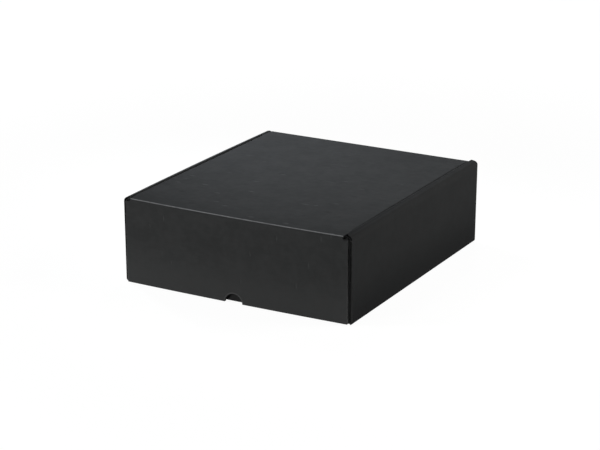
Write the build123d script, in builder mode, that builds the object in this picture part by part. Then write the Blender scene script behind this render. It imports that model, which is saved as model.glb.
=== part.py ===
"""Presentation box of black corrugated board.

One die-cut sheet folds into a tray with rolled double side walls, a lid hinged on the rear wall
and a front flap that hangs from the lid over the front wall. The sheet is one piece; it is split
into three solids only at the two folds that open.

Frame: millimetres, +X to the right of the front, +Y to the rear, +Z up, origin on the floor
under the middle of the box.
"""

import os
from math import cos, radians, sqrt

from build123d import *

# Overall size
box_width = 320.0  # over the two side walls
box_depth = 350.0  # front flap's face to rear wall's face
lid_height = 109.6  # floor to the lid's outer face

# Board and folds
board = 3.0  # B-flute board
fold_radius = 2.8  # outside of a folded edge
layer_gap = 0.2  # between layers that lie against each other

# Rolled side walls: outer panel, tucked tab and inner panel under one web
rail_rise = 2.4  # web's inner edge stands this far above the lid
rail_fall = 3.0  # web drops this much towards its outer edge
rail_peak_radius = 1.6  # web's inner edge
rail_bend = 3.0  # inside radius of the web's outer bend, into the side wall
rail_corner_radius = 5.0  # front and rear corners of the rolled walls, seen from the side
wall_clearance = 0.5  # inner panel's ends to the front and rear walls
corner_clearance = 2.0  # front and rear walls' top corners below the web

# Corner tabs, tucked between the layers of the side walls
tab_length = 80.0
tab_clearance = 4.0  # tab's top edge below the web
tab_lift = 0.5  # tab's bottom edge above the floor panel

# Floor locks at the inner panels' bottom edges
lock_length = 40.0
lock_offset = 60.0  # lock's middle from the box's middle
lock_inset = 0.4  # lock's end above the underside
slot_clearance = 0.3

# Lid and its dust flaps
lid_clearance = 0.9  # lid's edge to the rolled wall beside it
lid_seat = 0.3  # lid's underside to the front wall's top edge
dust_depth = 42.0  # below the lid's underside
dust_front_inset = 24.0  # from the front flap's face
dust_rear_inset = 28.0  # from the rear wall's face
dust_taper = 9.0
dust_corner_radius = 12.0
lid_edge_relief = 0.8  # cut edges beside the dust flaps lie this far inside the fold

# Front flap
flap_gap = 0.5  # flap to the front wall behind it
flap_inset = 4.5  # flap's side edges inside the side walls' faces
flap_lift = 0.8  # flap's bottom edge above the floor
flap_corner_radius = 2.5
ear_drop = 0.6  # flap's top corners below the lid's underside
ear_radius = 1.5
notch_radius = 12.5  # half-round thumb notch, centred on the floor line

# Planes and edges that the pieces share
half_width = box_width / 2
front_face = -box_depth / 2
rear_face = box_depth / 2
lid_under = lid_height - board
wall_face = front_face + board + flap_gap
wall_inner = wall_face + board
rear_inner = rear_face - board
flap_back = front_face + board

panel_inner = half_width - board
tab_outer = panel_inner - layer_gap
tab_inner = tab_outer - board
roll_outer = tab_inner - layer_gap
rail_inner = roll_outer - board
lid_half = rail_inner - lid_clearance
flap_half = half_width - flap_inset

rail_top = lid_height + rail_rise
rail_slope = rail_fall / (half_width - rail_inner)
web_drop = board * sqrt(1 + rail_slope**2)
web_under_inner = rail_top - rail_slope * board - web_drop
web_under_outer = rail_top - rail_slope * (panel_inner - rail_inner) - web_drop
corner_top = web_under_outer - corner_clearance
tab_top = web_under_outer - tab_clearance
roll_bottom = board + layer_gap

# The two hinge lines lie on the outside of their folds, half-way round the bend
fold_mid = fold_radius * (1 - cos(radians(45)))
hinge_height = lid_height - fold_mid
front_hinge = (front_face + fold_mid, hinge_height)
rear_hinge = (rear_face - fold_mid, hinge_height)
fold_height = lid_height - fold_radius
front_fold = (front_face + fold_radius, fold_height)
rear_fold = (rear_face - fold_radius, fold_height)


# Floor with the front and rear walls, their corner tabs and the slots for the floor locks
with BuildPart() as ends:
    with BuildSketch(Plane.YZ) as ends_section:
        with BuildLine():
            Polyline(
                (wall_face, corner_top),
                (wall_face, 0),
                (rear_face, 0),
                (rear_face, corner_top),
                (rear_inner, corner_top),
                (rear_inner, board),
                (wall_inner, board),
                (wall_inner, corner_top),
                close=True,
            )
        make_face()
        fillet(ends_section.vertices().group_by(Axis.Y)[0], fold_radius)
    extrude(amount=tab_outer, both=True)

    with BuildSketch(Plane.XY.offset(board + tab_lift)):
        for side in (-1, 1):
            tab_middle = side * (tab_outer - board / 2)
            with Locations((tab_middle, wall_face + tab_length / 2), (tab_middle, rear_face - tab_length / 2)):
                Rectangle(board, tab_length)
    extrude(amount=tab_top - board - tab_lift)

    # Vertical folds from the walls into the tabs
    with BuildSketch() as plan:
        with Locations((0, (wall_face + rear_face) / 2)):
            RectangleRounded(2 * tab_outer, rear_face - wall_face, fold_radius)
    extrude(amount=corner_top, mode=Mode.INTERSECT)

    with BuildSketch():
        for side in (-1, 1):
            slot_middle = side * (rail_inner + board / 2)
            with Locations((slot_middle, -lock_offset), (slot_middle, lock_offset)):
                Rectangle(board + 2 * slot_clearance, lock_length + 2 * slot_clearance)
    extrude(amount=board, mode=Mode.SUBTRACT)

    # Front wall up to the lid, between the rolled walls
    with BuildSketch(Plane.XZ.offset(-wall_face)):
        with Locations((0, (corner_top + lid_under - lid_seat) / 2)):
            Rectangle(2 * lid_half, lid_under - lid_seat - corner_top)
    extrude(amount=-board)

    # Rear wall up to its half of the hinge fold
    with BuildSketch(Plane.YZ):
        with BuildLine():
            bend = CenterArc(rear_fold, fold_radius, 0, 45)
            Polyline(
                rear_hinge,
                (rear_inner, lid_under),
                (rear_inner, corner_top),
                (rear_face, corner_top),
                bend @ 0,
            )
        make_face()
    extrude(amount=lid_half, both=True)


# Tray: the rolled side walls, folded up from the floor, joined with the floor and end walls
with BuildPart() as tray:
    with BuildSketch(Plane.XZ.offset(-wall_face)) as roll_section:
        with BuildLine():
            Polyline(
                (panel_inner, 0),
                (half_width, 0),
                (half_width, rail_top - rail_fall),
                (rail_inner, rail_top),
                (rail_inner, roll_bottom),
                (roll_outer, roll_bottom),
                (roll_outer, web_under_inner),
                (panel_inner, web_under_outer),
                close=True,
            )
        make_face()
        fillet(roll_section.vertices().sort_by(Axis.Y)[-1], rail_peak_radius)
        fillet(roll_section.vertices().group_by(Axis.X)[-2].sort_by(Axis.Y)[-1], rail_bend)
        fillet(roll_section.vertices().group_by(Axis.X)[-1].sort_by(Axis.Y)[-1], rail_bend + board)
        fillet(roll_section.vertices().group_by(Axis.X)[-1].sort_by(Axis.Y)[0], fold_radius)
    extrude(amount=wall_face - rear_face)

    # Inner panel and web clear the front and rear walls
    roll_middle = (rail_inner + panel_inner) / 2
    roll_width = panel_inner - rail_inner
    end_cut = board + wall_clearance
    with BuildSketch():
        with Locations((roll_middle, wall_face + end_cut / 2), (roll_middle, rear_face - end_cut / 2)):
            Rectangle(roll_width, end_cut)
    extrude(amount=corner_top + wall_clearance, mode=Mode.SUBTRACT)

    with BuildSketch(Plane.XY.offset(lock_inset)):
        for lock_middle in (-lock_offset, lock_offset):
            with Locations((rail_inner + board / 2, lock_middle)):
                Rectangle(board, lock_length)
    extrude(amount=roll_bottom - lock_inset)

    # Fold between the floor and the side wall
    with BuildSketch(Plane.XZ.offset(-wall_inner)) as foot_section:
        with Locations(((tab_inner + half_width) / 2, board / 2)):
            Rectangle(half_width - tab_inner, board)
        fillet(foot_section.vertices().group_by(Axis.X)[-1].sort_by(Axis.Y)[0], fold_radius)
    extrude(amount=wall_inner - rear_inner)

    mirror(about=Plane.YZ)

    with BuildSketch(Plane.YZ) as side_outline:
        with Locations(((wall_face + rear_face) / 2, rail_top / 2)):
            Rectangle(rear_face - wall_face, rail_top)
        fillet(side_outline.vertices().group_by(Axis.Y)[-1], rail_corner_radius)
    extrude(amount=half_width, both=True, mode=Mode.INTERSECT)

    add(ends.part)


# Right-hand dust flap with the fold that carries it
with BuildPart() as dust_flap:
    dust_front = front_face + dust_front_inset
    dust_rear = rear_face - dust_rear_inset
    dust_bottom = lid_under - dust_depth
    fold_inner = lid_half - 2 * board
    with BuildSketch(Plane.XZ.offset(-dust_front)) as dust_section:
        with BuildLine():
            Polyline(
                (fold_inner, lid_under),
                (fold_inner, lid_height),
                (lid_half, lid_height),
                (lid_half, dust_bottom),
                (lid_half - board, dust_bottom),
                (lid_half - board, lid_under),
                close=True,
            )
        make_face()
        fillet(dust_section.vertices().group_by(Axis.X)[-1].sort_by(Axis.Y)[-1], fold_radius)
    extrude(amount=dust_front - dust_rear)

    with BuildSketch(Plane.YZ) as dust_outline:
        with BuildLine():
            Polyline(
                (dust_front, lid_height),
                (dust_front, lid_under),
                (dust_front + dust_taper, dust_bottom),
                (dust_rear - dust_taper, dust_bottom),
                (dust_rear, lid_under),
                (dust_rear, lid_height),
                close=True,
            )
        make_face()
        fillet(dust_outline.vertices().group_by(Axis.Y)[0], dust_corner_radius)
    extrude(amount=lid_half, mode=Mode.INTERSECT)


# Lid: the top panel with its two dust flaps
with BuildPart() as lid:
    with BuildSketch(Plane.YZ):
        with BuildLine():
            front_bend = CenterArc(front_fold, fold_radius, 90, 45)
            rear_bend = CenterArc(rear_fold, fold_radius, 45, 45)
            Line(front_bend @ 0, rear_bend @ 1)
            Polyline(front_bend @ 1, (flap_back, lid_under), (rear_inner, lid_under), rear_bend @ 0)
        make_face()
    extrude(amount=lid_half - lid_edge_relief)

    with BuildSketch(Plane.XY.offset(lid_under)):
        with Locations(((fold_inner + lid_half) / 2, (dust_front + dust_rear) / 2)):
            Rectangle(lid_half - fold_inner, dust_rear - dust_front)
    extrude(amount=board, mode=Mode.SUBTRACT)

    add(dust_flap.part)
    mirror(about=Plane.YZ)


# Front flap, with its half of the fold and the thumb notch
with BuildPart() as front_flap:
    ear_top = lid_under - ear_drop
    with BuildSketch(Plane.XZ.offset(-front_face)) as flap_outline:
        with Locations((0, (flap_lift + ear_top) / 2)):
            Rectangle(2 * flap_half, ear_top - flap_lift)
        fillet(flap_outline.vertices().group_by(Axis.Y)[0], flap_corner_radius)
        fillet(flap_outline.vertices().group_by(Axis.Y)[-1], ear_radius)
        Circle(notch_radius, mode=Mode.SUBTRACT)
    extrude(amount=-board)

    with BuildSketch(Plane.YZ):
        with BuildLine():
            bend = CenterArc(front_fold, fold_radius, 135, 45)
            Polyline(front_hinge, (flap_back, lid_under), (flap_back, ear_top), (front_face, ear_top), bend @ 1)
        make_face()
    extrude(amount=lid_half - lid_edge_relief, both=True)


os.makedirs("parts", exist_ok=True)
tray.part.label = "tray"
export_step(tray.part, "parts/tray.step")
lid.part.label = "lid"
export_step(lid.part, "parts/lid.step")
front_flap.part.label = "front_flap"
export_step(front_flap.part, "parts/front_flap.step")
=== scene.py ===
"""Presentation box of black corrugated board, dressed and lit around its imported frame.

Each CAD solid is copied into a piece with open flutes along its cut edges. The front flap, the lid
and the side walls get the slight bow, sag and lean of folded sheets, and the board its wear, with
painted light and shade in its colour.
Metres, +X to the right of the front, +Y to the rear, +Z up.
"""

from collections import namedtuple
from math import atan, cos, pi, radians, sin, tan

import bmesh
import bpy
from mathutils import Matrix, Vector


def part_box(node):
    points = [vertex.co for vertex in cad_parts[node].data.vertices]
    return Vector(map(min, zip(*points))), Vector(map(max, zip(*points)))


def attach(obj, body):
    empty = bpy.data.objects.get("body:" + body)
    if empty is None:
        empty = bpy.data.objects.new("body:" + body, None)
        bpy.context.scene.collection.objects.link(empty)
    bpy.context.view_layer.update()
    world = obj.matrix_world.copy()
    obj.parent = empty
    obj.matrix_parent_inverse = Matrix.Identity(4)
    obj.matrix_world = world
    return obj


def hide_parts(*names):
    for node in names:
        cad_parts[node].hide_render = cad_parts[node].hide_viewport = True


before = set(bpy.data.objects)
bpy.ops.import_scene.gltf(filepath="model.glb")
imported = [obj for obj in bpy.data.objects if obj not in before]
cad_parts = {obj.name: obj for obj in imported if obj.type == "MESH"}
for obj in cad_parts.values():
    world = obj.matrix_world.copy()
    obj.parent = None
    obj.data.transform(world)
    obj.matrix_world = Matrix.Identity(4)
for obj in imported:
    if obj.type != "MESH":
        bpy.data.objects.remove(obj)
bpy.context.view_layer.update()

TRAY_LOW, TRAY_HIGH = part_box("tray")
LID_LOW, LID_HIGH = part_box("lid")
FLAP_LOW, FLAP_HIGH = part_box("front_flap")

# Board: two papers with a wavy one between them
BOARD = FLAP_HIGH.y - FLAP_LOW.y
LINER = 0.00045
MEDIUM = 0.0003
FLUTE_PITCH = 0.0065
FLUTE_REACH = BOARD / 2 - LINER
FLUTE_SWING = FLUTE_REACH - MEDIUM / 2
FLUTE_DEPTH = 0.009
GLUE_SHARE = 0.05  # part of a wave that is glued to a paper on each side of a flute
CELL_STEPS = 10
SLIT_SHALLOW = 0.0006
SLIT_DEEP = 0.0016
SLIT_LENGTH = 0.043  # one stretch of an open edge between two glue lines
OVERCUT = 0.0004

# Folds and edges of the solids
FOLD_RADIUS = 0.0028
FOLD_PAPER_DEPTH = 0.0001
FLAP_PAPER = (radians(140), radians(95))  # first and last angle about the front fold
LID_PAPER = (radians(130), radians(175))
SHARP_ANGLE = radians(28)
LID_EDGE = LID_HIGH.x - 0.0008
LID_UNDER = LID_HIGH.z - BOARD
EAR_TOP = LID_UNDER - 0.0006
EAR_RADIUS = 0.0015
FLAP_CORNER = 0.0025
CORNER_POWER = 6
NOTCH_RADIUS = 0.0125
DUST_FRONT = FLAP_LOW.y + 0.024
DUST_REAR = TRAY_HIGH.y - 0.028
DUST_TAPER = 0.009
DUST_CORNER = 0.012
DUST_SLIT = (0.1, 0.68)  # stretch of a dust flap's slanted edge that is open
WALL_TOP = LID_UNDER - 0.0003

# Web over a rolled side wall: it slopes down outwards and bends into the side panel
RAIL_TOP = LID_HIGH.z + 0.0024
RAIL_INNER = 0.1506
WEB_FALL = 0.003
WEB_ANGLE = atan(WEB_FALL / (TRAY_HIGH.x - RAIL_INNER))
BEND_RADIUS = 0.006
BEND_X = TRAY_HIGH.x - BEND_RADIUS
BEND_Z = RAIL_TOP - WEB_FALL + BEND_RADIUS * tan(WEB_ANGLE) - BEND_RADIUS / cos(WEB_ANGLE)
BEND_STEPS = 8
WEB_SLIT_DEPTH = 0.004
LEG_DROP = 0.0039  # web's peak to the top of the slit in the inner panel's end

# Loose sheets: the flap bows forwards and hangs a little askew, and the lid's front edge sags
FLAP_BOW = 0.0022
BOW_GRID = 0.0115
BOW_POWER = 1.5
FLAP_DROP = 0.0002
FLAP_TILT = 0.00045
LID_GRID = 0.02
EDGE_LIFT = 0.00045
EDGE_SAG = 0.0011

# The lid's sides and the walls beside them: values at the front and the rear, left (-1) and right (1)
SIDE_RISE = {-1: (0.0015, 0.0006), 1: (0.0013, 0.0022)}
SIDE_SPREAD = {-1: (0.0005, 0.0005), 1: (0.0001, 0.001)}
SIDE_FADE = {-1: (0.02, 0.02), 1: (0.1, 0.03)}
SIDE_POWER = 8
RAIL_SHIFTS = {-1: (-0.0002, -0.0013), 1: (0.0004, 0.0008)}
RAIL_ARCH = {-1: 0.0009, 1: 0.0}
RAIL_LEAN = 0.0012  # right wall's top, outwards at the rear

# Camera, fitted to the box's edges in the 600 x 450 picture
LENS = 117.636
SENSOR = 36.0
AZIMUTH = radians(29.4834)
ELEVATION = radians(18.6257)
ROLL = radians(-0.2269)
TARGET = Vector((-0.00694, 0.0, 0.04706))
DISTANCE = 2.5147

RawEdge = namedtuple("RawEdge", "start along across inward length")
Surface = namedtuple(
    "Surface", "place normal x y z from_middle along across faces_side faces_front faces_up"
)
Textures = namedtuple("Textures", "clouds mottle streaks grain")
Specks = namedtuple("Specks", "along across share reach")  # cells to a metre, share filled, spot's reach

# Board's colours: its dye, darker board for painted shade and for smears, paler board for painted light
# and for scuffs, pressed paper, raw paper that also carries painted light, and a rubbed fold with a
# painted highlight
DEEP_BLACK = (0.0257, 0.0258, 0.026, 1)
SOFT_BLACK = (0.0313, 0.0314, 0.0316, 1)
DARK_BOARD = (0.016, 0.016, 0.0162, 1)
PALE_BOARD = (0.04, 0.0402, 0.0405, 1)
PRESSED_BOARD = (0.058, 0.0582, 0.0585, 1)
# raw paper, also used for painted light
RAW_AND_LIT_BOARD = (0.08, 0.0802, 0.0806, 1)
# rubbed paper and painted highlight along the front fold
RUBBED_AND_HIGHLIT_BOARD = (0.17, 0.172, 0.177, 1)

# Where the painted light and shade, the wear and the marks lie, and how strong they are
FACING = 0.7  # part of a normal along an axis from which a face counts as facing that way
# painted light and shade: how far up from the floor and back from the front they reach
PAINTED_LIGHT_REACH = 0.068
LOW_LIGHT_AND_SHADE = 0.85
LID_PAINTED_SHADE = 0.16
WEB_PAINTED_SHADE = (0.65, 0.1)  # beside the lid and at the outer edge
# painted shadow of the flap on the front wall behind it
FLAP_SHADOW_ON_WALL = 0.8
# painted light on the side walls' outer bends
BEND_PAINTED_LIGHT = 0.3
# painted light on the tray's shaded front corners behind the flap
CORNER_PAINTED_LIGHT = 0.5
# raw paper on the flap's cut ends, with painted light stronger towards the bottom
FLAP_END_RAW_AND_LIT = (1.0, 0.2)  # at the bottom and the top
FLAP_GAP_Y = (FLAP_HIGH.y + TRAY_LOW.y) / 2  # between the flap and the front wall
FOLD_OUTWARDS = (0.0, -0.7, 0.7)
# where the front fold's wear and painted highlight lie
WEAR_HIGHLIGHT_ANGLE = radians(118)
WEAR_HIGHLIGHT_WIDTHS = (0.0003, 0.0011)
RIM_WIDTHS = (0.0008, 0.0018)
HANDLED_Y = (-0.06, 0.1)
DASHES = Specks(along=60.0, across=135.0, share=0.06, reach=0.45)
TICKS = Specks(along=300.0, across=80.0, share=0.013, reach=0.45)
SMEARS = Specks(along=55.0, across=90.0, share=0.1, reach=0.5)
SMEAR_STRENGTH = 0.35
SCUFF_DEPTH = 0.35
SHADE_WEIGHTS = Textures(clouds=0.45, mottle=0.3, streaks=0.15, grain=0.1)
RELIEF_WEIGHTS = Textures(clouds=0.18, mottle=0.045, streaks=0.015, grain=0.004)
FLUTE_RELIEF = 0.012
SIDE_EVENNESS = 0.4
SHADE_RANGE = (0.35, 0.65)
ROUGHNESS = (0.9, 0.82)

# Studio floor: a hair under the box, and fully white from some way off
FLOOR_SIZE = 12.0
FLOOR_DROP = 0.0003
FLOOR_FADE = (0.4, 1.4)
FLOOR_WHITENESS = (0.95, 1.0)


def raw_edge(start, end, across, inward):
    """Middle line of a cut edge, with the board's thickness and inside directions."""
    run = Vector(end) - Vector(start)
    return RawEdge(Vector(start), run.normalized(), Vector(across), Vector(inward), run.length)


def on_edge(edge, along, across, inward):
    return edge.start + edge.along * along + edge.across * across + edge.inward * inward


def add_prism(cutter, near, far):
    """Closed prism between two rings of points."""
    near_ring = [cutter.verts.new(point) for point in near]
    far_ring = [cutter.verts.new(point) for point in far]
    cutter.faces.new(near_ring)
    cutter.faces.new(far_ring)
    count = len(near_ring)
    for i in range(count):
        j = (i + 1) % count
        cutter.faces.new((near_ring[i], near_ring[j], far_ring[j], far_ring[i]))


def cell_section(middle, side):
    """One flute's outline across the board: the wavy paper closed by a straight paper."""
    reach = FLUTE_PITCH * (0.5 - GLUE_SHARE)
    section = []
    for i in range(CELL_STEPS + 1):
        along = middle + reach * (2 * i / CELL_STEPS - 1)
        wave = -side * FLUTE_SWING * cos(2 * pi * (along - middle) / FLUTE_PITCH)
        section.append((along, wave + side * MEDIUM / 2))
    section.append((middle + reach, side * FLUTE_REACH))
    section.append((middle - reach, side * FLUTE_REACH))
    return section


def cut_flute_ends(cutter, edge):
    """Flutes that end at the edge show their wave."""
    waves = int(edge.length / FLUTE_PITCH) - 1
    margin = (edge.length - waves * FLUTE_PITCH) / 2
    for k in range(waves):
        for side, share in ((-1, 0.25), (1, 0.75)):
            section = cell_section(margin + (k + share) * FLUTE_PITCH, side)
            near = [on_edge(edge, s, t, -OVERCUT) for s, t in section]
            far = [on_edge(edge, s, t, FLUTE_DEPTH) for s, t in section]
            add_prism(cutter, near, far)


def slit_section(turned):
    deep, shallow = (SLIT_DEEP, SLIT_SHALLOW) if turned else (SLIT_SHALLOW, SLIT_DEEP)
    return [
        (-FLUTE_REACH, -OVERCUT),
        (FLUTE_REACH, -OVERCUT),
        (FLUTE_REACH, shallow),
        (-FLUTE_REACH, deep),
    ]


def cut_slits(cutter, edge):
    """Flutes that run along the edge leave it open between the papers."""
    count = max(1, round(edge.length / SLIT_LENGTH))
    length = edge.length / count
    gap = LINER / 2
    for k in range(count):
        section = slit_section(k % 2 == 1)
        near = [on_edge(edge, k * length + gap, t, d) for t, d in section]
        far = [on_edge(edge, (k + 1) * length - gap, t, d) for t, d in section]
        add_prism(cutter, near, far)


def add_sweep(cutter, rings):
    """Closed bar through a row of rings of points."""
    rows = [[cutter.verts.new(point) for point in ring] for ring in rings]
    cutter.faces.new(rows[0])
    cutter.faces.new(rows[-1])
    for row, following in zip(rows, rows[1:]):
        for i in range(len(row)):
            j = (i + 1) % len(row)
            cutter.faces.new((row[i], row[j], following[j], following[i]))


def cut_notch_slit(cutter):
    """The thumb notch's round edge is open between the papers too."""
    middle_y = (FLAP_LOW.y + FLAP_HIGH.y) / 2
    start, steps = radians(9), 24
    step = (pi - 2 * start) / steps
    rings = []
    for i in range(steps + 1):
        angle = start + i * step
        ring = []
        for across, inward in slit_section(False):
            radius = NOTCH_RADIUS + inward
            ring.append(Vector((radius * cos(angle), middle_y + across, radius * sin(angle))))
        rings.append(ring)
    add_sweep(cutter, rings)


def web_line():
    """Points and outward directions along the middle of a web, from the side panel to its peak."""
    middle = BEND_RADIUS - BOARD / 2
    line = []
    for i in range(BEND_STEPS + 1):
        angle = (pi / 2 - WEB_ANGLE) * i / BEND_STEPS
        out = Vector((cos(angle), 0, sin(angle)))
        line.append((Vector((BEND_X, 0, BEND_Z)) + out * middle, out))
    point, out = line[-1]
    reach = (point.x - RAIL_INNER - LINER) / cos(WEB_ANGLE)
    line.append((point + Vector((-cos(WEB_ANGLE), 0, sin(WEB_ANGLE))) * reach, out))
    return line


def leg_line():
    """The same down the inner panel, from under the web to the top of the end walls."""
    middle_x = RAIL_INNER + BOARD / 2
    out = Vector((-1, 0, 0))
    return [(Vector((middle_x, 0, z)), out) for z in (WALL_TOP + LINER, RAIL_TOP - LEG_DROP)]


def cut_web_slits(cutter):
    """The rolled walls' front and rear ends are open between the papers."""
    section = ((-1, -OVERCUT), (1, -OVERCUT), (1, WEB_SLIT_DEPTH), (-1, WEB_SLIT_DEPTH))
    for side in (-1, 1):
        for end_y, turn in ((TRAY_LOW.y, 1), (TRAY_HIGH.y, -1)):
            for line in (web_line(), leg_line()):
                rings = []
                for point, out in line:
                    ring = []
                    for across, inward in section:
                        spot = point + out * (across * FLUTE_REACH)
                        ring.append(Vector((side * spot.x, end_y + turn * inward, spot.z)))
                    rings.append(ring)
                add_sweep(cutter, rings)


def board_copy(name, node):
    """A welded copy of a CAD solid's mesh."""
    mesh = bpy.data.meshes.new(name)
    form = bmesh.new()
    form.from_mesh(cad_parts[node].data)
    bmesh.ops.remove_doubles(form, verts=form.verts, dist=1e-6)
    bmesh.ops.dissolve_limit(form, angle_limit=radians(0.5), verts=form.verts, edges=form.edges)
    form.to_mesh(mesh)
    form.free()
    piece = bpy.data.objects.new(name, mesh)
    bpy.context.scene.collection.objects.link(piece)
    return piece


def carve(piece, cutter):
    """Cuts the closed cells of a cutter out of a piece."""
    bmesh.ops.recalc_face_normals(cutter, faces=cutter.faces)
    mesh = bpy.data.meshes.new("flute_cells")
    cutter.to_mesh(mesh)
    cutter.free()
    cells = bpy.data.objects.new("flute_cells", mesh)
    bpy.context.scene.collection.objects.link(cells)
    cut = piece.modifiers.new("open_flutes", "BOOLEAN")
    cut.operation = "DIFFERENCE"
    cut.solver = "EXACT"
    cut.object = cells
    view = bpy.context.evaluated_depsgraph_get()
    carved = bpy.data.meshes.new_from_object(piece.evaluated_get(view))
    piece.modifiers.clear()
    piece.data = carved
    bpy.data.objects.remove(cells)
    bpy.data.meshes.remove(mesh)


def finish_piece(piece, body, node, material):
    """Smooth folds with sharp cut edges, the board's material and the piece's place in the frame."""
    mesh = piece.data
    for name in ("custom_normal", "sharp_face"):
        if name in mesh.attributes:
            mesh.attributes.remove(mesh.attributes[name])
    mesh.polygons.foreach_set("use_smooth", [True] * len(mesh.polygons))
    mesh.set_sharp_from_angle(angle=SHARP_ANGLE)
    mesh.materials.clear()
    mesh.materials.append(material)
    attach(piece, body)
    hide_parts(node)


def flap_edges():
    """Cut edges of the front flap: flute ends at its sides, slits along its bottom and ears."""
    middle_y = (FLAP_LOW.y + FLAP_HIGH.y) / 2
    ends, slits = [], []
    thick = (0, 1, 0)
    for side in (-1, 1):
        edge_x = side * FLAP_HIGH.x
        low = (edge_x, middle_y, FLAP_LOW.z + FLAP_CORNER)
        high = (edge_x, middle_y, EAR_TOP - EAR_RADIUS)
        ends.append(raw_edge(low, high, thick, (-side, 0, 0)))
        near = (side * (NOTCH_RADIUS + LINER), middle_y, FLAP_LOW.z)
        far = (side * (FLAP_HIGH.x - FLUTE_DEPTH - LINER), middle_y, FLAP_LOW.z)
        slits.append(raw_edge(near, far, thick, (0, 0, 1)))
        near = (side * (LID_EDGE + LINER), middle_y, EAR_TOP)
        far = (side * (FLAP_HIGH.x - EAR_RADIUS), middle_y, EAR_TOP)
        slits.append(raw_edge(near, far, thick, (0, 0, -1)))
    return ends, slits


def lid_edges():
    """Cut edges of the lid: its sides beside the dust flaps, and the dust flaps' own edges."""
    middle_z = LID_HIGH.z - BOARD / 2
    dust_slope = Vector((0, DUST_TAPER, LID_LOW.z - LID_UNDER))
    ends, slits = [], []
    for side in (-1, 1):
        edge_x = side * LID_EDGE
        for start_y, end_y in ((LID_LOW.y + BOARD, DUST_FRONT), (DUST_REAR, LID_HIGH.y - BOARD)):
            start, end = (edge_x, start_y, middle_z), (edge_x, end_y, middle_z)
            ends.append(raw_edge(start, end, (0, 0, 1), (-side, 0, 0)))
        dust_x = side * (LID_HIGH.x - BOARD / 2)
        start_y = DUST_FRONT + DUST_TAPER + DUST_CORNER
        end_y = DUST_REAR - DUST_TAPER - DUST_CORNER
        start, end = (dust_x, start_y, LID_LOW.z), (dust_x, end_y, LID_LOW.z)
        ends.append(raw_edge(start, end, (1, 0, 0), (0, 0, 1)))
        for corner_y, turn in ((DUST_FRONT, 1), (DUST_REAR, -1)):
            slope = Vector((0, turn * dust_slope.y, dust_slope.z))
            inward = Vector((0, -turn * slope.z, slope.y * turn)).normalized()
            top = Vector((dust_x, corner_y, LID_UNDER))
            start, end = (top + slope * share for share in DUST_SLIT)
            slits.append(raw_edge(start, end, (1, 0, 0), inward))
    return ends, slits


def tray_edges():
    """Cut edges of the tray: the front wall's top and the rolled walls' front and rear ends."""
    slits = []
    wall_y = TRAY_LOW.y + BOARD / 2
    start, end = (-LID_HIGH.x + LINER, wall_y, WALL_TOP), (LID_HIGH.x - LINER, wall_y, WALL_TOP)
    slits.append(raw_edge(start, end, (0, 1, 0), (0, 0, -1)))
    for side in (-1, 1):
        panel_x = side * (TRAY_HIGH.x - BOARD / 2)
        for end_y, turn in ((TRAY_LOW.y, 1), (TRAY_HIGH.y, -1)):
            low = (panel_x, end_y, FOLD_RADIUS)
            high = (panel_x, end_y, BEND_Z - LINER)
            slits.append(raw_edge(low, high, (1, 0, 0), (0, turn, 0)))
    return [], slits


def dressed(name, node, edges, cut_more=None):
    """Copy of a CAD solid with its cut edges opened."""
    ends, slits = edges
    piece = board_copy(name, node)
    cutter = bmesh.new()
    for edge in ends:
        cut_flute_ends(cutter, edge)
    for edge in slits:
        cut_slits(cutter, edge)
    if cut_more:
        cut_more(cutter)
    carve(piece, cutter)
    return piece


def cut_grid(form, axis, low, high, pitch):
    """Lines across a mesh, so that its flat faces can bend."""
    count = round((high - low) / pitch)
    normal = Vector([1.0 if i == axis else 0.0 for i in range(3)])
    for k in range(1, count):
        point = normal * (low + (high - low) * k / count)
        geometry = form.verts[:] + form.edges[:] + form.faces[:]
        bmesh.ops.bisect_plane(form, geom=geometry, dist=1e-7, plane_co=point, plane_no=normal)


def edge_sag(x):
    """Height of the lid's front edge over a straight line, from side to side."""
    return EDGE_LIFT - EDGE_SAG * max(0.0, 1 - (x / LID_HIGH.x) ** 2)


def square_corner(point):
    """Pushes a corner of the flap, drawn round, out to a squarer curve."""
    reach_x = abs(point.x) - (FLAP_HIGH.x - FLAP_CORNER)
    reach_z = FLAP_LOW.z + FLAP_CORNER - point.z
    if reach_x > 0 and reach_z > 0:
        round_reach = (reach_x**2 + reach_z**2) ** 0.5
        square_reach = (reach_x**CORNER_POWER + reach_z**CORNER_POWER) ** (1 / CORNER_POWER)
        grown = round_reach / square_reach - 1
        point.x += reach_x * grown if point.x > 0 else -reach_x * grown
        point.z -= reach_z * grown


def add_fold_paper(form, first, last):
    """Outer paper that carries on inside the front fold and closes the gap there when it opens."""
    outer = FOLD_RADIUS - FOLD_PAPER_DEPTH
    inner = outer - LINER
    reach = LID_EDGE - LINER
    middle = Vector((0, FLAP_LOW.y + FOLD_RADIUS, LID_HIGH.z - FOLD_RADIUS))
    known = set(form.faces)
    rings = []
    for i in range(CELL_STEPS + 1):
        angle = first + (last - first) * i / CELL_STEPS
        out = Vector((0, cos(angle), sin(angle)))
        corners = ((-reach, outer), (reach, outer), (reach, inner), (-reach, inner))
        rings.append([middle + out * radius + Vector((x, 0, 0)) for x, radius in corners])
    add_sweep(form, rings)
    bmesh.ops.recalc_face_normals(form, faces=[face for face in form.faces if face not in known])


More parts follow.
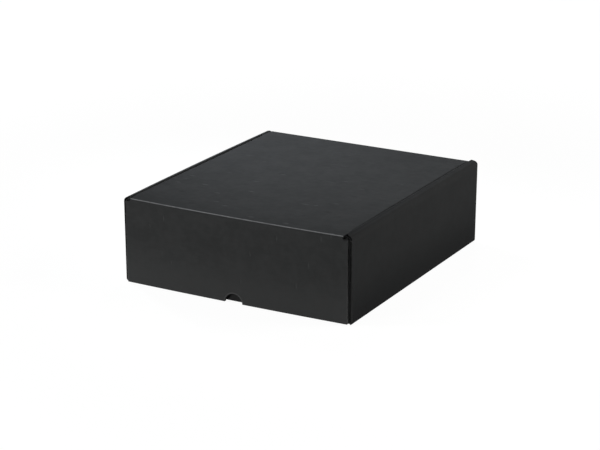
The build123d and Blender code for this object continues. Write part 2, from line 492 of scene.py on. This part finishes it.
def bend_flap(piece):
    """The flap follows the lid's edge, bows forwards lower down and hangs a little askew."""
    form = bmesh.new()
    form.from_mesh(piece.data)
    add_fold_paper(form, *FLAP_PAPER)
    cut_grid(form, 0, FLAP_LOW.x, FLAP_HIGH.x, BOW_GRID)
    cut_grid(form, 2, FLAP_LOW.z, EAR_TOP, BOW_GRID)
    for vert in form.verts:
        square_corner(vert.co)
        x, y, z = vert.co
        share = x / FLAP_HIGH.x
        down = max(0.0, (EAR_TOP - z) / (EAR_TOP - FLAP_LOW.z))
        vert.co.y = y - FLAP_BOW * max(0.0, 1 - share**2) * down**BOW_POWER
        vert.co.z = z + edge_sag(x) * (1 - down) + (FLAP_TILT * share - FLAP_DROP) * down
    form.to_mesh(piece.data)
    form.free()


def between(ends, forward):
    """Value between a front and a rear one."""
    front, rear = ends
    return rear + (front - rear) * forward


def bend_lid(piece):
    """The lid's front edge sags between its corners, and its dust flaps push its sides up and out."""
    form = bmesh.new()
    form.from_mesh(piece.data)
    add_fold_paper(form, *LID_PAPER)
    cut_grid(form, 0, LID_LOW.x, LID_HIGH.x, LID_GRID)
    cut_grid(form, 1, LID_LOW.y, LID_HIGH.y, LID_GRID)
    for vert in form.verts:
        x, y, z = vert.co
        forward = (LID_HIGH.y - y) / (LID_HIGH.y - LID_LOW.y)
        side = 1 if x > 0 else -1
        front_fade, rear_fade = SIDE_FADE[side]
        from_ends = min(1.0, (LID_HIGH.y - y) / rear_fade, (y - LID_LOW.y) / front_fade)
        pushed = abs(x / LID_HIGH.x) ** SIDE_POWER * max(0.0, from_ends)
        vert.co.x = x + side * between(SIDE_SPREAD[side], forward) * pushed
        vert.co.z = z + edge_sag(x) * forward**2 + between(SIDE_RISE[side], forward) * pushed
    form.to_mesh(piece.data)
    form.free()


def settle_rails(piece):
    """Hand-rolled walls end a little higher or lower than drawn; one arches, one leans out."""
    form = bmesh.new()
    form.from_mesh(piece.data)
    cut_grid(form, 1, TRAY_LOW.y, TRAY_HIGH.y, LID_GRID)
    for vert in form.verts:
        x, y, z = vert.co
        if abs(x) < RAIL_INNER - OVERCUT:
            continue
        side = 1 if x > 0 else -1
        rearward = (y - TRAY_LOW.y) / (TRAY_HIGH.y - TRAY_LOW.y)
        if z > BEND_Z - LINER / 2:
            arch = RAIL_ARCH[side] * 4 * rearward * (1 - rearward)
            vert.co.z = z + between(RAIL_SHIFTS[side], 1 - rearward) + arch
        if side > 0:
            vert.co.x = x + RAIL_LEAN * rearward * (z / RAIL_TOP) ** 2
    form.to_mesh(piece.data)
    form.free()


def add_node(tree, kind, inputs=None, **settings):
    """A shader node with its settings, and its inputs linked or filled in."""
    made = tree.nodes.new(kind)
    for name, value in settings.items():
        setattr(made, name, value)
    for name, value in (inputs or {}).items():
        if isinstance(value, bpy.types.NodeSocket):
            tree.links.new(value, made.inputs[name])
        else:
            made.inputs[name].default_value = value
    return made


def math_node(tree, operation, *values):
    numbered = dict(enumerate(values))
    return add_node(tree, "ShaderNodeMath", numbered, operation=operation).outputs[0]


def ramp(tree, value, low, high, start=0.0, end=1.0):
    """Smooth step of a value between two limits."""
    inputs = {"Value": value, "From Min": low, "From Max": high, "To Min": start, "To Max": end}
    settings = {"interpolation_type": "SMOOTHSTEP"}
    return add_node(tree, "ShaderNodeMapRange", inputs, **settings).outputs["Result"]


def noise(tree, vector, scale, detail=2.0, roughness=0.5):
    inputs = {"Vector": vector, "Scale": scale, "Detail": detail, "Roughness": roughness}
    return add_node(tree, "ShaderNodeTexNoise", inputs).outputs["Fac"]


def combine(tree, x, y, z):
    return add_node(tree, "ShaderNodeCombineXYZ", {"X": x, "Y": y, "Z": z}).outputs[0]


def mix_colour(tree, factor, first, second):
    inputs = {0: factor, 6: first, 7: second}
    return add_node(tree, "ShaderNodeMix", inputs, data_type="RGBA").outputs[2]


def times(tree, *values):
    """Product of sockets and numbers."""
    product = values[0]
    for value in values[1:]:
        product = math_node(tree, "MULTIPLY", product, value)
    return product


def weighted(tree, values, weights):
    """Sum of values, each times its weight."""
    total = 0.0
    for value, weight in zip(values, weights):
        total = math_node(tree, "MULTIPLY_ADD", value, weight, total)
    return total


def above(tree, value, limit):
    return math_node(tree, "GREATER_THAN", value, limit)


def below(tree, value, limit):
    return math_node(tree, "LESS_THAN", value, limit)


def length_of(tree, vector):
    return add_node(tree, "ShaderNodeVectorMath", {0: vector}, operation="LENGTH").outputs["Value"]


def specks(tree, at, kind):
    """Sparse soft spots, one in a share of the cells of a grid."""
    grid = combine(tree, times(tree, at.along, kind.along), times(tree, at.across, kind.across), 0.0)
    inputs = {"Vector": grid, "Scale": 1.0}
    spots = add_node(tree, "ShaderNodeTexVoronoi", inputs, voronoi_dimensions="2D")
    draw = add_node(tree, "ShaderNodeSeparateXYZ", {"Vector": spots.outputs["Color"]}).outputs["X"]
    spot = ramp(tree, spots.outputs["Distance"], 0.1 * kind.reach, kind.reach, 1.0, 0.0)
    return times(tree, spot, ramp(tree, draw, 1 - kind.share, 1 - kind.share / 2))


def board_surface(tree):
    """Where a point of the board lies, which way it faces and how its flutes run."""
    coordinates = add_node(tree, "ShaderNodeTexCoord")
    place, normal = coordinates.outputs["Object"], coordinates.outputs["Normal"]
    x, y, z = add_node(tree, "ShaderNodeSeparateXYZ", {"Vector": place}).outputs
    facing_x, facing_y, facing_z = add_node(tree, "ShaderNodeSeparateXYZ", {"Vector": normal}).outputs
    faces_side = above(tree, math_node(tree, "ABSOLUTE", facing_x), FACING)
    faces_front = above(tree, math_node(tree, "ABSOLUTE", facing_y), FACING)
    return Surface(
        place=place,
        normal=normal,
        x=x,
        y=y,
        z=z,
        from_middle=math_node(tree, "ABSOLUTE", x),
        # Flutes run along X on the front, floor and lid, and up the side walls
        along=add_node(tree, "ShaderNodeMix", {0: faces_side, 2: x, 3: z}).outputs[0],
        across=add_node(tree, "ShaderNodeMix", {0: faces_front, 2: y, 3: z}).outputs[0],
        faces_side=faces_side,
        faces_front=faces_front,
        faces_up=above(tree, facing_z, FACING),
    )


def paper_textures(tree, at):
    """Cloudy patches, mottle, short streaks along the flutes and fine grain."""
    streak_place = combine(
        tree, times(tree, at.along, 60.0), times(tree, at.across, 300.0), times(tree, at.faces_side, 5.0)
    )
    return Textures(
        clouds=noise(tree, at.place, 34.0, 3.0, 0.6),
        mottle=noise(tree, at.place, 110.0, 2.0, 0.5),
        streaks=noise(tree, streak_place, 1.0, 2.0, 0.55),
        grain=noise(tree, at.place, 1100.0, 2.0, 0.6),
    )


def painted_light_and_shade(tree, at, colour, forward):
    """Painted light low on the front; painted shade low on the sides, on the right web and on parts of
    the lid.
    """
    # painted light low on the front, standing in for light from the floor; painted shade low on the
    # sides
    low_down = ramp(tree, at.z, 0.0, PAINTED_LIGHT_REACH, LOW_LIGHT_AND_SHADE, 0.0)
    colour = mix_colour(tree, times(tree, low_down, at.faces_front), colour, PALE_BOARD)
    # painted shade on the right web beside the lid
    on_web = times(
        tree,
        ramp(tree, at.from_middle, RAIL_INNER, TRAY_HIGH.x, *WEB_PAINTED_SHADE),
        forward,
        above(tree, at.z, BEND_Z),
        above(tree, at.x, RAIL_INNER - LINER),
    )
    # painted shade on the lid towards its front left and on its right side
    at_front = ramp(tree, at.y, FLAP_LOW.y, FLAP_LOW.y + PAINTED_LIGHT_REACH, LID_PAINTED_SHADE, 0.0)
    at_front = times(tree, at_front, ramp(tree, at.x, LID_LOW.x, LID_LOW.x / 2))
    at_right = ramp(tree, at.x, 0.0, LID_HIGH.x, 0.0, LID_PAINTED_SHADE)
    on_lid = times(tree, at.faces_up, math_node(tree, "ADD", at_front, at_right))
    darker = math_node(tree, "MULTIPLY_ADD", low_down, at.faces_side, on_web)
    darker = math_node(tree, "ADD", darker, on_lid)
    return mix_colour(tree, darker, colour, DARK_BOARD)


def painted_light_on_walls(tree, at, colour, forward):
    """Painted light that lifts the shade where the side walls bend hard, and on the left one's inner
    edge towards the front.
    """
    # painted light on the bends
    up_bend = ramp(tree, at.z, BEND_Z - BEND_RADIUS, BEND_Z + BEND_RADIUS / 2, 0.0, BEND_PAINTED_LIGHT)
    out_bend = ramp(tree, at.from_middle, BEND_X, BEND_X + BEND_RADIUS / 2)
    colour = mix_colour(tree, times(tree, up_bend, out_bend), colour, PALE_BOARD)
    # painted light on the left wall's inner edge, which lies in shade
    left_edge = times(
        tree,
        below(tree, at.x, -RAIL_INNER + LINER),
        below(tree, at.from_middle, RAIL_INNER + BOARD),
        above(tree, at.z, LID_UNDER),
        forward,
    )
    return mix_colour(tree, left_edge, colour, PALE_BOARD)


def raw_edges_and_painted_light(tree, at, colour):
    """Raw paper at the flap's cut ends, growing paler downwards as painted light, and painted light on
    the tray's front corners behind them, which lie in shade.
    """
    # raw flap ends, paler low down as painted light
    flap_end = times(
        tree,
        above(tree, at.from_middle, FLAP_HIGH.x - LINER),
        ramp(tree, at.z, 0.0, WALL_TOP, *FLAP_END_RAW_AND_LIT),
    )
    # painted light on the tray's shaded front corners
    corner = times(
        tree,
        above(tree, at.from_middle, FLAP_HIGH.x - BOARD),
        below(tree, at.from_middle, TRAY_HIGH.x - BOARD),
        above(tree, at.y, FLAP_GAP_Y),
        ramp(tree, at.y, TRAY_LOW.y + BOARD, TRAY_LOW.y + 2 * BOARD, 1.0, 0.0),
        below(tree, at.z, EAR_TOP),
        CORNER_PAINTED_LIGHT,
    )
    raw_and_lit = math_node(tree, "MULTIPLY_ADD", below(tree, at.y, FLAP_GAP_Y), flap_end, corner)
    return mix_colour(tree, raw_and_lit, colour, RAW_AND_LIT_BOARD)


def scuff_marks(tree, at):
    """Pale dashes on the lid and upright ticks on the flap, and dark smears on the lid."""
    handled = times(tree, at.faces_up, ramp(tree, at.y, *HANDLED_Y, 1.0, 0.3))
    dashes = times(tree, specks(tree, at, DASHES), handled)
    smears = times(tree, specks(tree, at, SMEARS), handled)
    scuffs = math_node(tree, "MULTIPLY_ADD", specks(tree, at, TICKS), at.faces_front, dashes)
    return scuffs, smears


def fold_wear_and_highlight(tree, at, colour):
    """Rubbed line on the outside of the front fold, which follows the lid's sagging edge: partly wear
    and partly a painted highlight.
    """
    wear_highlight_y = FLAP_LOW.y + FOLD_RADIUS + FOLD_RADIUS * cos(WEAR_HIGHLIGHT_ANGLE)
    wear_highlight_z = LID_HIGH.z - FOLD_RADIUS + FOLD_RADIUS * sin(WEAR_HIGHLIGHT_ANGLE)
    share = math_node(tree, "DIVIDE", at.x, LID_HIGH.x)
    middle_z = wear_highlight_z + EDGE_LIFT - EDGE_SAG
    line_z = math_node(tree, "MULTIPLY_ADD", times(tree, share, share), EDGE_SAG, middle_z)
    from_y = math_node(tree, "SUBTRACT", at.y, wear_highlight_y)
    from_z = math_node(tree, "SUBTRACT", at.z, line_z)
    distance = length_of(tree, combine(tree, 0.0, from_y, from_z))
    inputs = {0: at.normal, 1: FOLD_OUTWARDS}
    outside = add_node(tree, "ShaderNodeVectorMath", inputs, operation="DOT_PRODUCT").outputs["Value"]
    # wear and painted highlight along the fold
    wear_and_highlight = times(
        tree,
        ramp(tree, distance, *WEAR_HIGHLIGHT_WIDTHS, 1.0, 0.0),
        above(tree, outside, 0.5),
        ramp(tree, noise(tree, at.place, 160.0, 3.0, 0.65), 0.3, 0.6, 0.7, 1.0),
    )
    return mix_colour(tree, wear_and_highlight, colour, RUBBED_AND_HIGHLIT_BOARD)


def notch_marks(tree, at, colour):
    """Pressed rim around the thumb notch, on the flap's face."""
    from_notch = length_of(tree, combine(tree, at.x, 0.0, at.z))
    rim = ramp(tree, from_notch, *(NOTCH_RADIUS + width for width in RIM_WIDTHS), 1.0, 0.0)
    on_face = below(tree, at.y, FLAP_LOW.y + LINER / 2)
    return mix_colour(tree, times(tree, rim, on_face), colour, PRESSED_BOARD)


def painted_shadow_on_wall(tree, at, colour):
    """Painted shadow of the flap on the front wall's outer face behind it."""
    flap_shadow = times(
        tree,
        above(tree, at.y, FLAP_GAP_Y),
        below(tree, at.y, TRAY_LOW.y + LINER),
        below(tree, at.from_middle, FLAP_HIGH.x - BOARD),
        at.faces_front,
        FLAP_SHADOW_ON_WALL,
    )
    return mix_colour(tree, flap_shadow, colour, DARK_BOARD)


def paper_relief(tree, at, textures, evenness, scuffs):
    """Unevenness of the paper, with faint flute lines and the dents of the scuffs."""
    flutes = math_node(tree, "SINE", times(tree, at.across, 2 * pi / FLUTE_PITCH))
    relief = weighted(tree, (*textures, flutes), (*RELIEF_WEIGHTS, FLUTE_RELIEF))
    relief = times(tree, relief, evenness)
    relief = math_node(tree, "MULTIPLY_ADD", scuffs, -SCUFF_DEPTH, relief)
    bump = add_node(tree, "ShaderNodeBump", {"Height": relief, "Strength": 1.0, "Distance": 0.001})
    return bump.outputs["Normal"]


def board_material(name):
    """Matte black board: mottled dye, scuffs, painted light and shade, a rubbed front fold with a
    painted highlight, and the paper's faint relief.
    """
    material = bpy.data.materials.new(name)
    material.use_nodes = True
    tree = material.node_tree
    tree.nodes.clear()
    at = board_surface(tree)
    textures = paper_textures(tree, at)
    evenness = ramp(tree, at.faces_side, 0.0, 1.0, 1.0, SIDE_EVENNESS)
    shade = math_node(tree, "SUBTRACT", weighted(tree, textures, SHADE_WEIGHTS), 0.5)
    shade = math_node(tree, "MULTIPLY_ADD", shade, evenness, 0.5)
    # how far forward a point lies, for painted shade and light that grow towards the front
    forward = ramp(tree, at.y, -PAINTED_LIGHT_REACH, TRAY_HIGH.y, 1.0, 0.0)
    scuffs, smears = scuff_marks(tree, at)

    colour = mix_colour(tree, ramp(tree, shade, *SHADE_RANGE), DEEP_BLACK, SOFT_BLACK)
    # painted light and shade on the board's faces
    colour = painted_light_and_shade(tree, at, colour, forward)
    # painted light on the side walls
    colour = painted_light_on_walls(tree, at, colour, forward)
    # raw paper and painted light on edges and corners
    colour = raw_edges_and_painted_light(tree, at, colour)
    colour = mix_colour(tree, times(tree, smears, SMEAR_STRENGTH), colour, DARK_BOARD)
    colour = mix_colour(tree, scuffs, colour, PALE_BOARD)
    # wear and painted highlight on the front fold
    colour = fold_wear_and_highlight(tree, at, colour)
    colour = notch_marks(tree, at, colour)
    # painted shadow of the flap on the front wall
    colour = painted_shadow_on_wall(tree, at, colour)

    shader = add_node(
        tree,
        "ShaderNodeBsdfPrincipled",
        {
            "Base Color": colour,
            "Roughness": ramp(tree, shade, 0.0, 1.0, *ROUGHNESS),
            "Specular IOR Level": 0.05,
            "Specular Tint": (0.5, 0.8, 1.0, 1),
            "Normal": paper_relief(tree, at, textures, evenness, scuffs),
        },
    )
    output = add_node(tree, "ShaderNodeOutputMaterial")
    tree.links.new(shader.outputs["BSDF"], output.inputs["Surface"])
    return material


def seen_directly(tree):
    """1 for rays of the camera, of mirrors and through glass."""
    path = add_node(tree, "ShaderNodeLightPath")
    seen = math_node(
        tree, "MAXIMUM", path.outputs["Is Camera Ray"], path.outputs["Is Glossy Ray"]
    )
    return math_node(tree, "MAXIMUM", seen, path.outputs["Is Transmission Ray"])


def floor_material():
    """White that fades to the background, keeps a faint shadow and is clear from below."""
    material = bpy.data.materials.new("white_floor")
    material.use_nodes = True
    tree = material.node_tree
    tree.nodes.clear()
    lit = add_node(tree, "ShaderNodeBsdfDiffuse", {"Color": (0.8, 0.8, 0.8, 1)})
    faint = add_node(tree, "ShaderNodeBsdfDiffuse", {"Color": (0.08, 0.08, 0.08, 1)})
    place = add_node(tree, "ShaderNodeTexCoord").outputs["Object"]
    whiteness = ramp(tree, length_of(tree, place), *FLOOR_FADE, *FLOOR_WHITENESS)
    white = add_node(tree, "ShaderNodeEmission", {"Color": (1, 1, 1, 1), "Strength": whiteness})
    both = add_node(tree, "ShaderNodeAddShader", {0: faint.outputs[0], 1: white.outputs[0]})
    chosen = add_node(
        tree, "ShaderNodeMixShader", {0: seen_directly(tree), 1: lit.outputs[0], 2: both.outputs[0]}
    )
    underside = add_node(tree, "ShaderNodeNewGeometry").outputs["Backfacing"]
    clear = add_node(tree, "ShaderNodeBsdfTransparent")
    one_sided = add_node(
        tree, "ShaderNodeMixShader", {0: underside, 1: chosen.outputs[0], 2: clear.outputs[0]}
    )
    output = add_node(tree, "ShaderNodeOutputMaterial")
    tree.links.new(one_sided.outputs[0], output.inputs["Surface"])
    return material


def make_floor():
    """Wide white sheet a hair under the box."""
    mesh = bpy.data.meshes.new("studio_floor")
    form = bmesh.new()
    bmesh.ops.create_grid(form, x_segments=1, y_segments=1, size=FLOOR_SIZE)
    form.to_mesh(mesh)
    form.free()
    mesh.materials.append(floor_material())
    floor = bpy.data.objects.new("studio_floor", mesh)
    floor.location.z = -FLOOR_DROP
    bpy.context.scene.collection.objects.link(floor)


def make_world():
    """White to the camera, with a plain grey light of its own."""
    world = bpy.data.worlds.new("studio")
    world.use_nodes = True
    tree = world.node_tree
    tree.nodes.clear()
    plain = add_node(tree, "ShaderNodeBackground", {"Color": (1, 1, 1, 1), "Strength": 0.03})
    white = add_node(tree, "ShaderNodeBackground", {"Color": (1, 1, 1, 1), "Strength": 1.0})
    chosen = add_node(
        tree, "ShaderNodeMixShader", {0: seen_directly(tree), 1: plain.outputs[0], 2: white.outputs[0]}
    )
    output = add_node(tree, "ShaderNodeOutputWorld")
    tree.links.new(chosen.outputs[0], output.inputs["Surface"])
    bpy.context.scene.world = world


def add_softbox(name, place, aim, size, power, tint, spread=180):
    """Square area lamp at a place, turned to a point."""
    lamp = bpy.data.lights.new(name, "AREA")
    lamp.shape = "SQUARE"
    lamp.size = size
    lamp.energy = power
    lamp.color = tint
    lamp.spread = radians(spread)
    box = bpy.data.objects.new(name, lamp)
    box.location = place
    box.rotation_euler = (Vector(aim) - Vector(place)).to_track_quat("-Z", "Y").to_euler()
    box.visible_camera = False
    bpy.context.scene.collection.objects.link(box)


def make_lights():
    """Neutral softboxes for the front and the side, and two cool narrow ones for the lid's rear."""
    cool, even, warm = (0.95, 0.99, 1.05), (0.965, 1.005, 1.025), (1.02, 1.007, 0.975)
    top = LID_HIGH.z
    front, side = (0.0, FLAP_LOW.y, top / 2), (TRAY_HIGH.x, 0.0, top / 2)
    add_softbox("main_softbox", (-1.4, -1.0, 1.6), front, 0.6, 17.3, even)
    add_softbox("front_softbox", (-0.7, -1.8, 0.35), front, 0.5, 17.6, warm)
    add_softbox("right_softbox", (0.75, 0.2, 0.65), side, 0.35, 4.2, warm)
    add_softbox("left_softbox", (-1.2, 0.5, 0.8), (-0.15, 0.12, top), 0.25, 0.68, cool, spread=30)
    add_softbox("rear_softbox", (-0.3, 1.1, 1.1), (-0.06, 0.2, top), 0.25, 0.17, cool, spread=30)


def make_camera():
    """Camera on the fitted line of sight, rolled by a hair."""
    data = bpy.data.cameras.new("camera")
    data.lens = LENS
    data.sensor_width = SENSOR
    data.sensor_fit = "HORIZONTAL"
    data.clip_end = 100.0
    camera = bpy.data.objects.new("camera", data)
    back = Vector((sin(AZIMUTH) * cos(ELEVATION), -cos(AZIMUTH) * cos(ELEVATION), sin(ELEVATION)))
    right = Vector((cos(AZIMUTH), sin(AZIMUTH), 0.0))
    up = back.cross(right)
    rolled_right = right * cos(ROLL) + up * sin(ROLL)
    rolled_up = up * cos(ROLL) - right * sin(ROLL)
    turn = Matrix((rolled_right, rolled_up, back)).transposed().to_4x4()
    camera.matrix_world = Matrix.Translation(TARGET + back * DISTANCE) @ turn
    bpy.context.scene.collection.objects.link(camera)
    bpy.context.scene.camera = camera


def make_box():
    board = board_material("black_board")
    tray = dressed("tray_board", "tray", tray_edges(), cut_web_slits)
    settle_rails(tray)
    finish_piece(tray, "tray", "tray", board)
    lid = dressed("lid_board", "lid", lid_edges())
    bend_lid(lid)
    finish_piece(lid, "lid", "lid", board)
    flap = dressed("front_flap_board", "front_flap", flap_edges(), cut_notch_slit)
    bend_flap(flap)
    finish_piece(flap, "front_flap", "front_flap", board)


make_box()
make_floor()
make_world()
make_lights()
make_camera()
bpy.context.scene.view_settings.view_transform = "Standard"
